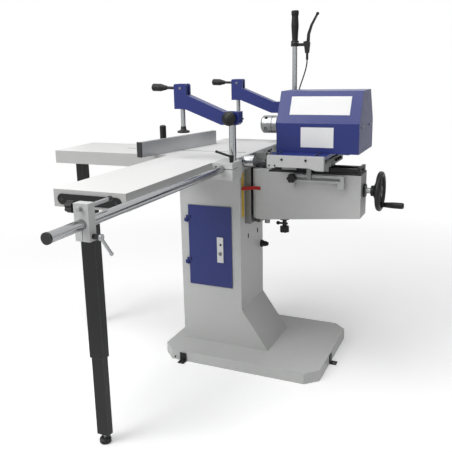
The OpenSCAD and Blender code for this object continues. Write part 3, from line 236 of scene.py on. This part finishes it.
def surface_rough(tree, finish, noise):
    """The finish's roughness, a little uneven over the surface."""
    smoothest = finish.rough * (1 - ROUGH_SPREAD)
    roughest = finish.rough * (1 + ROUGH_SPREAD)
    return mixed(tree, noise, "FLOAT", smoothest, roughest)


def surface_normal(tree, finish, bevel):
    """Rounded edges, and the fine waviness of the finish."""
    if not finish.peel:
        return bevel.outputs[0]
    noise = new_node(tree, "ShaderNodeTexNoise")
    feed(tree, PEEL_SCALE, noise.inputs["Scale"])
    feed(tree, object_place(tree), noise.inputs["Vector"])
    bump = new_node(tree, "ShaderNodeBump")
    feed(tree, finish.peel, bump.inputs["Strength"])
    feed(tree, PEEL_DEPTH, bump.inputs["Distance"])
    feed(tree, noise.outputs[0], bump.inputs["Height"])
    feed(tree, bevel.outputs[0], bump.inputs["Normal"])
    return bump.outputs[0]


def make_material(name, slot, accents=()):
    """A slot's finish. Each accent, (slot, tests), paints the region where its tests hold in another."""
    finish = FINISHES[slot]
    material = bpy.data.materials.new(name)
    material.use_nodes = True
    tree = material.node_tree
    bevel = new_node(tree, "ShaderNodeBevel")
    bevel.samples = EDGE_SAMPLES
    feed(tree, EDGE_RADIUS, bevel.inputs["Radius"])
    noise = cloud(tree, finish)
    color = surface_color(tree, finish, noise, bevel)
    rough = surface_rough(tree, finish, noise)
    metal = finish.metal
    for other_slot, tests in accents:
        other = FINISHES[other_slot]
        mask = region(tree, tests)
        color = mixed(tree, mask, "RGBA", color, surface_color(tree, other, noise, bevel))
        rough = mixed(tree, mask, "FLOAT", rough, surface_rough(tree, other, noise))
        if other.metal != finish.metal:
            metal = mixed(tree, mask, "FLOAT", metal, other.metal)
    shader = tree.nodes["Principled BSDF"]
    feed(tree, color, shader.inputs["Base Color"])
    feed(tree, rough, shader.inputs["Roughness"])
    feed(tree, metal, shader.inputs["Metallic"])
    feed(tree, finish.spec, shader.inputs["Specular IOR Level"])
    feed(tree, surface_normal(tree, finish, bevel), shader.inputs["Normal"])
    return material


shared = {slot: make_material(slot, slot) for slot in FINISHES}


# Which finish a node has, and where a part of it has another one

# Nodes whose finish differs a little from their slot's
FINISH_OF = {
    "knee_block": "darker_grey_paint",
    "knee_box": "darker_grey_paint",
    "depth_stop": "darker_grey_paint",
    "saddle": "dull_steel",
    "slide_frame": "darker_grey_paint",
    "table_rail": "steel",
    "lift_screw": "dull_steel",
    "column_way": "dull_steel",
    "latch_cam": "dull_steel",
    "chuck": "chuck_steel",
}

# A region ends this far off the face that bounds it
SKIN = 0.0004
FITTING_SKIN = 0.0003

DOOR_PLATE = 0.004
WALL = 0.004
DOOR_MIDDLE = -0.16
END_COVER = 0.003
END_PLATE = 0.015
ROD_STARTS = 0.0152
PIN_PROUD = 0.0009
PAD_HEIGHT = 0.023
BAR_CAP = 0.0062
STOP_TIP = 0.0121
LEVER_HUB = 0.0325
TUBE_SOCKET = 0.0145
STUD_LOW = 0.0181
STUD_HIGH = 0.0299
FENCE_TURN = math.radians(12.8)
FENCE_BOLT = Vector((-0.359, -0.068, 0))
FENCE_REACH = 0.209
FENCE_CAP = 0.005

table_top = high("main_table").z
plate_top = high("motor_plate").z
door_front = high("column_door").y - DOOR_PLATE
wall_front = high("column_front").y - WALL
fence_along = Vector((math.sin(FENCE_TURN), math.cos(FENCE_TURN), 0))
fence_front = FENCE_BOLT.dot(fence_along) - FENCE_REACH
rods_front = low("slide_frame").y + ROD_STARTS


def above(axis, place):
    """The half space past place along axis."""
    return axis, place


def below(axis, place):
    """The half space before place along axis."""
    return -axis, -place


def both_ends(slot, node, depth):
    """Accents on the first and the last stretch of a node along Y, each of that depth."""
    return [(slot, [below(Y, low(node).y + depth)]), (slot, [above(Y, high(node).y - depth)])]


table_edge = ("table_edge", [below(Z, table_top - SKIN)])
leg_stud = ("steel", [above(Z, STUD_LOW), below(Z, STUD_HIGH)])
end_cover = ("black_paint", [below(Y, low("front_extension").y + END_COVER - SKIN)])

ACCENTS = {
    "main_table": [table_edge],
    "side_extension": [table_edge],
    "front_extension": [table_edge, end_cover],
    "front_leg": [leg_stud],
    "side_leg": [leg_stud],
    "stop_bar": [("black_plastic", [below(Y, low("stop_bar").y + BAR_CAP)])],
    "stop_pin": [("black_plastic", [above(Y, high("stop_pin").y - STOP_TIP)])],
    "stop_lever": [("black_plastic", [below(X, low("stop_lever").x + LEVER_HUB)])],
    "fence": [("black_plastic", [below(fence_along, fence_front + FENCE_CAP)])],
    "front_plunger": [("black_plastic", [below(Z, low("front_plunger").z + PAD_HEIGHT)])],
    "rear_plunger": [("black_plastic", [below(Z, low("rear_plunger").z + PAD_HEIGHT)])],
    "front_arm": both_ends("dull_steel", "front_arm", PIN_PROUD),
    "rear_arm": both_ends("dull_steel", "rear_arm", PIN_PROUD),
    "column_door": [("alloy", [below(Y, door_front - FITTING_SKIN), above(X, DOOR_MIDDLE)])],
    "column_front": [("blue_paint", [below(Y, wall_front - FITTING_SKIN)])],
    "knee_box": [("black_paint", [above(X, high("rail_bed").x + SKIN)])],
    "motor_plate": both_ends("darker_grey_paint", "motor_plate", END_PLATE),
    "slide_frame": [("chrome", [above(Y, rods_front), below(Y, -rods_front)])],
    "joystick": [("black_paint", [below(Z, plate_top + TUBE_SOCKET)])],
}


def dress_nodes():
    """Gives each CAD node its finish."""
    slot_of = {part["node"]: part["material_slot"] for part in frame["record"]["subparts"]}
    for name, node in frame["nodes"].items():
        slot = FINISH_OF.get(name, slot_of[name])
        material = shared[slot]
        if name in ACCENTS:
            material = make_material(name, slot, ACCENTS[name])
        node.data.materials.clear()
        node.data.materials.append(material)


dress_nodes()


# Forms that the small pieces are made of

SCREW_SIDES = 20
SCREW_SHOULDER = 0.8
SCREW_CROWN = 0.9
SOCKET_WIDTH = 0.55
SOCKET_FLOOR = 0.35


def add_piece(name, data, slot, body):
    """A piece in a shared finish that rides on a body."""
    piece = new_object(name, data)
    piece.data.materials.append(shared[slot])
    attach(piece, body)
    return piece


def add_form(name, form, slot, body):
    """Adds a piece with the mesh that form holds, and frees form."""
    mesh = bpy.data.meshes.new(name)
    form.to_mesh(mesh)
    form.free()
    add_piece(name, mesh, slot, body)


def add_boxes(name, boxes, slot, body):
    """Adds one piece of several boxes, each given by its lowest and highest corner."""
    form = bmesh.new()
    for lowest, highest in boxes:
        middle = (Vector(lowest) + Vector(highest)) / 2
        size = Vector(highest) - Vector(lowest)
        bmesh.ops.create_cube(form, matrix=Matrix.Translation(middle) @ Matrix.Diagonal((*size, 1)))
    add_form(name, form, slot, body)


def add_screws(name, heads, slot, body, radius, height=0.003):
    """Adds one piece of several socket screw heads, each given by its place and outward direction."""
    profile = (
        (radius, 0),
        (radius, height * SCREW_SHOULDER),
        (radius * SCREW_CROWN, height),
        (radius * SOCKET_WIDTH, height),
        (radius * SOCKET_WIDTH, height * SOCKET_FLOOR),
    )
    angles = [2 * math.pi * k / SCREW_SIDES for k in range(SCREW_SIDES)]
    form = bmesh.new()
    for place, outward in heads:
        turn = Z.rotation_difference(Vector(outward)).to_matrix().to_4x4()
        to_world = Matrix.Translation(Vector(place)) @ turn
        rings = []
        for r, z in profile:
            circle = [Vector((r * math.cos(a), r * math.sin(a), z)) for a in angles]
            rings.append([form.verts.new(to_world @ point) for point in circle])
        for ring, following in zip(rings, rings[1:]):
            for k in range(SCREW_SIDES):
                after = (k + 1) % SCREW_SIDES
                form.faces.new((ring[k], ring[after], following[after], following[k]))
        form.faces.new(list(reversed(rings[0])))
        form.faces.new(rings[-1])
    add_form(name, form, slot, body)


def add_sheet(name, corners, thickness, slot, body):
    """Adds a thin flat plate on the four corners, thickened along their normal."""
    points = [Vector(c) for c in corners]
    normal = (points[1] - points[0]).cross(points[3] - points[0]).normalized() * thickness
    form = bmesh.new()
    base = [form.verts.new(p) for p in points]
    top = [form.verts.new(p + normal) for p in points]
    form.faces.new(list(reversed(base)))
    form.faces.new(top)
    for k in range(4):
        after = (k + 1) % 4
        form.faces.new((base[k], base[after], top[after], top[k]))
    add_form(name, form, slot, body)


# Small pieces

column_right = high("column_shell").x


def tick_length(step):
    """Longest at every tenth step of the height scale, and shortest at the odd ones."""
    if step % 10 == 0:
        return 0.012
    return 0.009 if step % 2 == 0 else 0.006


def add_height_scale():
    """The height scale on the column, with its graduation."""
    thickness = 0.0008
    tick_step = 0.005
    tick_count = 32
    half_line = 0.0003
    sunk = 0.0001
    proud = 0.0002
    lowest = Vector((column_right, -0.104, 0.560))
    highest = Vector((column_right + thickness, -0.082, 0.727))
    add_boxes("height_scale", [(lowest, highest)], "yellow_strip", "frame")
    ticks = []
    for step in range(1, tick_count + 1):
        z = lowest.z + tick_step * step
        start = (highest.x - sunk, lowest.y, z - half_line)
        end = (highest.x + proud, lowest.y + tick_length(step), z + half_line)
        ticks.append((start, end))
    add_boxes("scale_ticks", ticks, "shade_and_print_black", "frame")


def add_hood_panels():
    """Two plain white panels on the hood: one on its slope, and one on its upright front."""
    upright = 0.102
    top_half = 0.062
    thickness = 0.0005
    upper_margins = (0.043, 0.0365)
    upper_shares = (0.262, 0.829)
    lower_margins = (0.088, 0.0865)
    lower_heights = (0.020, 0.089)
    lowest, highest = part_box("hood")
    foot = Vector((0, lowest.y, lowest.z + upright))
    slope = Vector((0, -top_half - lowest.y, highest.z - foot.z))
    upper_ends = [foot + slope * share for share in upper_shares]
    lower_ends = [Vector((0, lowest.y, lowest.z + height)) for height in lower_heights]
    panels = (
        ("hood_upper_panel", upper_margins, upper_ends),
        ("hood_lower_panel", lower_margins, lower_ends),
    )
    for name, (left_margin, right_margin), (bottom, top) in panels:
        x0 = lowest.x + left_margin
        x1 = highest.x - right_margin
        corners = [(x0, *bottom.yz), (x1, *bottom.yz), (x1, *top.yz), (x0, *top.yz)]
        add_sheet(name, corners, thickness, "label_white", "head")


def add_slide_screws():
    """The screws on the motor plate, and the screws and pins in the end plates under it."""
    plate_low, plate_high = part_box("motor_plate")
    plate_xs = (plate_low.x + 0.026, plate_high.x - 0.033)
    plate_ys = (-0.162, -0.125, 0.162, 0.125)
    plate_heads = [((x, y, plate_top), Z) for x in plate_xs for y in plate_ys]
    add_screws("motor_plate_screws", plate_heads, "black_paint", "head", radius=0.005, height=0.004)
    left = low("slide_frame").x
    front = low("slide_frame").y
    screw_xs = (left + 0.053, left + 0.1365)
    screw_z = plate_top - 0.013
    pin_xs = (left + 0.008, left + 0.028)
    pin_z = plate_top - 0.034
    for end, y, outward in (("front", front, -Y), ("rear", -front, Y)):
        screws = [((x, y, screw_z), outward) for x in screw_xs]
        add_screws("apron_screws_" + end, screws, "black_paint", "head", radius=0.0042)
        pins = [((x, y, pin_z), outward) for x in pin_xs]
        add_screws("apron_pins_" + end, pins, "black_paint", "head", radius=0.0032, height=0.002)


def add_hood_screws():
    """The two screws in the hood's right end."""
    z = low("hood").z + 0.0865
    heads = [((high("hood").x, y, z), X) for y in (-0.063, 0.063)]
    add_screws("hood_end_screws", heads, "steel", "head", radius=0.0042)


def add_table_screws():
    """The screws of the front extension's end cover, and of the rail on the right table edge."""
    cover_front = low("front_extension").y
    cover_z = table_top - 0.027
    cover_heads = [((x, cover_front, cover_z), -Y) for x in (-0.238, -0.062)]
    add_screws("end_cover_screws", cover_heads, "black_paint", "frame", radius=0.004, height=0.0015)
    rail_face = low("table_rail").x + 0.005
    rail_z = table_top - 0.013
    rail_heads = [((rail_face, y, rail_z), X) for y in (-0.180, 0.128)]
    add_screws("table_rail_screws", rail_heads, "black_paint", "frame", radius=0.004, height=0.003)


def add_saddle_screws():
    """The three screws in the saddle's right side."""
    right = high("saddle").x
    z = high("saddle").z - 0.013
    heads = [((right, y, z), X) for y in (-0.02, 0.012, 0.044)]
    add_screws("saddle_screws", heads, "black_paint", "saddle", radius=0.005, height=0.006)


def add_corner_screw():
    """The screw beside the stop bar's seat in the front corner block."""
    place = (-0.0163, low("corner_blocks").y, table_top - 0.015)
    add_screws("corner_block_screw", [(place, -Y)], "black_paint", "frame", radius=0.005, height=0.003)


def add_holes():
    """The hole in the latch plate, the one in the base's front, and two vents in the column's wall, each a
    flat near-black piece of painted shade.
    """
    latch_plate = 0.004
    latch_place = (-0.097, door_front - latch_plate, 0.451)
    add_screws("latch_plate_hole", [(latch_place, -Y)], "shade_and_print_black", "door", radius=0.0045, height=0.0006)
    base_place = (-0.2515, low("base_plate").y, 0.0115)
    add_screws("base_hole", [(base_place, -Y)], "shade_and_print_black", "frame", radius=0.004, height=0.0004)
    half_width = 0.005
    half_height = 0.009
    x0 = column_right - 0.0005
    x1 = column_right + 0.0004
    vents = []
    for y, z in ((-0.041, 0.473), (0.059, 0.470)):
        vents.append(((x0, y - half_width, z - half_height), (x1, y + half_width, z + half_height)))
    add_boxes("column_vents", vents, "shade_and_print_black", "frame")


def add_chuck_marks():
    """The key sockets on the chuck's rim, drawn as near-black discs of painted shade, and its dark ring
    seam.
    """
    socket_x = 0.020
    socket_sunk = 0.0008
    socket_angles = (50, -24, 230)
    seam_x = 0.042
    seam_sunk = 0.0004
    seam_width = 0.0019
    seam_sides = 48
    lowest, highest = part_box("chuck")
    radius = (highest.z - lowest.z) / 2
    axis_z = (highest.z + lowest.z) / 2
    heads = []
    for angle in socket_angles:
        turn = math.radians(angle)
        outward = Vector((0, -math.cos(turn), math.sin(turn)))
        on_axis = Vector((lowest.x + socket_x, 0, axis_z))
        heads.append((on_axis + outward * (radius - socket_sunk), outward))
    add_screws("chuck_sockets", heads, "shade_and_print_black", "spindle", radius=0.006, height=0.0011)
    seam_radius = radius - seam_sunk
    to_seam = Matrix.Translation((lowest.x + seam_x, 0, axis_z)) @ Matrix.Rotation(math.pi / 2, 4, "Y")
    form = bmesh.new()
    bmesh.ops.create_cone(form, cap_ends=True, segments=seam_sides, radius1=seam_radius, radius2=seam_radius,
                          depth=seam_width, matrix=to_seam)
    add_form("chuck_seam", form, "shade_and_print_black", "spindle")


def add_cable():
    """The hand lever's cable, on the route of its CAD solid."""
    radius = 0.0025
    bend_height = 0.150
    steps = 24
    lowest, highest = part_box("brake_cable")
    top_x = highest.x - radius
    foot_x = lowest.x + radius
    middle_y = (lowest.y + highest.y) / 2
    route = []
    for k in range(steps + 1):
        z = highest.z + (lowest.z - highest.z) * k / steps
        share = min(1, (highest.z - z) / bend_height)
        eased = share * share * (3 - 2 * share)
        route.append(Vector((top_x + (foot_x - top_x) * eased, middle_y, z)))
    curve = bpy.data.curves.new("cable_sheath", "CURVE")
    curve.dimensions = "3D"
    curve.bevel_depth = radius
    curve.bevel_resolution = 4
    curve.use_fill_caps = True
    spline = curve.splines.new("POLY")
    spline.points.add(steps)
    for point, place in zip(spline.points, route):
        point.co = (*place, 1)
    cable = add_piece("cable_sheath", curve, "black_plastic", "head")
    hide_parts("brake_cable")


add_height_scale()
add_hood_panels()
add_slide_screws()
add_hood_screws()
add_table_screws()
add_saddle_screws()
add_corner_screw()
add_holes()
add_chuck_marks()
add_cable()


# Camera

IMAGE_SIZE = 452
SENSOR = 36.0
FOCAL_PX = 614.8
PRINCIPAL_PX = (209.3, 212.9)
CAMERA_PLACE = (0.8316, -2.172, 1.1198)
CAMERA_AZIMUTH = 25.42
CAMERA_ELEVATION = 13.56
CAMERA_ROLL = 1.54


def aim(azimuth, elevation, roll):
    """A camera's axes, right, up and back, as a rotation. Angles are in degrees."""
    a = math.radians(azimuth)
    e = math.radians(elevation)
    forward = Vector((-math.sin(a) * math.cos(e), math.cos(a) * math.cos(e), -math.sin(e)))
    level_right = forward.cross(Z).normalized()
    level_up = level_right.cross(forward)
    turn = Matrix.Rotation(math.radians(roll), 3, forward)
    return Matrix((turn @ level_right, turn @ level_up, -forward)).transposed()


def add_camera():
    """The camera at the photograph's place, with its framing."""
    lens = bpy.data.cameras.new("camera")
    lens.sensor_width = SENSOR
    lens.lens = FOCAL_PX / IMAGE_SIZE * SENSOR
    lens.shift_x = (IMAGE_SIZE / 2 - PRINCIPAL_PX[0]) / IMAGE_SIZE
    lens.shift_y = (PRINCIPAL_PX[1] - IMAGE_SIZE / 2) / IMAGE_SIZE
    camera = new_object("camera", lens)
    turn = aim(CAMERA_AZIMUTH, CAMERA_ELEVATION, CAMERA_ROLL).to_4x4()
    camera.matrix_world = Matrix.Translation(CAMERA_PLACE) @ turn
    bpy.context.scene.camera = camera


# Studio

WHITE = (1, 1, 1, 1)
SKY_STRENGTH = 0.27
LAMP_TARGET = (0, -0.2, 0.7)
FLOOR_HALF = 12.0
FLOOR_COLOR = (243, 243, 243)
FLOOR_ROUGH = 0.9
FLOOR_GLOW = 0.26
# The floor turns plain white between these distances from the middle
FADE_STARTS = 0.9
FADE_ENDS = 2.4


def mixed_shader(tree, share, first, second):
    """first where share is 0 and second where it is 1."""
    mix = new_node(tree, "ShaderNodeMixShader")
    feed(tree, share, mix.inputs[0])
    feed(tree, first, mix.inputs[1])
    feed(tree, second, mix.inputs[2])
    return mix.outputs[0]


def shown_as(tree, lighting, background):
    """lighting for the light that it sends, and background to the camera and in what mirrors it."""
    path = new_node(tree, "ShaderNodeLightPath")
    seen = path.outputs["Is Camera Ray"]
    for ray in ("Is Glossy Ray", "Is Transmission Ray"):
        either = new_node(tree, "ShaderNodeMath", "MAXIMUM")
        feed(tree, seen, either.inputs[0])
        feed(tree, path.outputs[ray], either.inputs[1])
        seen = either.outputs[0]
    return mixed_shader(tree, seen, lighting, background)


def add_sky():
    """Even light from all round, seen as plain white."""
    world = bpy.data.worlds.new("studio")
    world.use_nodes = True
    bpy.context.scene.world = world
    tree = world.node_tree
    lighting = tree.nodes["Background"]
    feed(tree, WHITE, lighting.inputs["Color"])
    feed(tree, SKY_STRENGTH, lighting.inputs["Strength"])
    background = new_node(tree, "ShaderNodeBackground")
    feed(tree, WHITE, background.inputs["Color"])
    feed(tree, 1.0, background.inputs["Strength"])
    shown = shown_as(tree, lighting.outputs[0], background.outputs[0])
    feed(tree, shown, tree.nodes["World Output"].inputs[0])


def add_lamp(name, place, size, power):
    """A round soft lamp that points at the machine."""
    lamp = bpy.data.lights.new(name, "AREA")
    lamp.shape = "DISK"
    lamp.size = size
    lamp.energy = power
    holder = new_object(name, lamp)
    holder.location = place
    direction = Vector(LAMP_TARGET) - Vector(place)
    holder.rotation_euler = direction.to_track_quat("-Z", "Y").to_euler()


def add_card(name, place, width, height):
    """A dark upright card that only mirrors in shiny metal, as beside a product in a studio."""
    middle = Vector(place)
    side = middle.cross(Z).normalized() * width / 2
    rise = Z * height / 2
    corners = [middle - side - rise, middle + side - rise, middle + side + rise, middle - side + rise]
    mesh = bpy.data.meshes.new(name)
    mesh.from_pydata(corners, [], [(0, 1, 2, 3)])
    card = new_object(name, mesh)
    card.data.materials.append(shared["shade_and_print_black"])
    card.visible_camera = False
    card.visible_diffuse = False
    card.visible_shadow = False


def floor_material():
    """A pale floor that keeps the shadows near the machine, and fades to plain white further out."""
    material = bpy.data.materials.new("pale_floor")
    material.use_nodes = True
    tree = material.node_tree
    shader = tree.nodes["Principled BSDF"]
    feed(tree, linear(FLOOR_COLOR), shader.inputs["Base Color"])
    feed(tree, FLOOR_ROUGH, shader.inputs["Roughness"])
    distance = new_node(tree, "ShaderNodeVectorMath", "LENGTH")
    feed(tree, object_place(tree), distance.inputs[0])
    fade = new_node(tree, "ShaderNodeMapRange")
    feed(tree, distance.outputs["Value"], fade.inputs["Value"])
    feed(tree, FADE_STARTS, fade.inputs["From Min"])
    feed(tree, FADE_ENDS, fade.inputs["From Max"])
    glow = new_node(tree, "ShaderNodeEmission")
    feed(tree, FLOOR_GLOW, glow.inputs["Strength"])
    near = new_node(tree, "ShaderNodeAddShader")
    feed(tree, shader.outputs[0], near.inputs[0])
    feed(tree, glow.outputs[0], near.inputs[1])
    far = new_node(tree, "ShaderNodeEmission")
    faded = mixed_shader(tree, fade.outputs[0], near.outputs[0], far.outputs[0])
    shown = shown_as(tree, shader.outputs[0], faded)
    feed(tree, shown, tree.nodes["Material Output"].inputs["Surface"])
    return material


def add_floor():
    """The floor, at the height that the machine stands on."""
    half = FLOOR_HALF
    corners = [(-half, -half, 0), (half, -half, 0), (half, half, 0), (-half, half, 0)]
    mesh = bpy.data.meshes.new("floor")
    mesh.from_pydata(corners, [], [(0, 1, 2, 3)])
    floor = new_object("floor", mesh)
    floor.data.materials.append(floor_material())


add_camera()
add_sky()
add_lamp("key_lamp", (-1.9, -3.0, 3.0), size=2.2, power=74)
add_lamp("fill_lamp", (2.8, -2.4, 2.0), size=2.4, power=7)
add_lamp("top_lamp", (-0.3, -1.0, 3.9), size=2.6, power=78)
add_card("card_left", (-3.4, 0.6, 1.4), width=1.6, height=2.6)
add_card("card_right", (3.4, 0.9, 1.4), width=1.8, height=2.6)
add_card("card_front", (2.6, -2.6, 1.2), width=0.8, height=2.2)
add_card("card_back_right", (2.1, 3.0, 0.75), width=1.9, height=1.4)
add_card("card_back_left", (-1.9, 3.2, 1.1), width=2.2, height=1.2)
add_floor()

bpy.context.scene.view_settings.view_transform = "Standard"
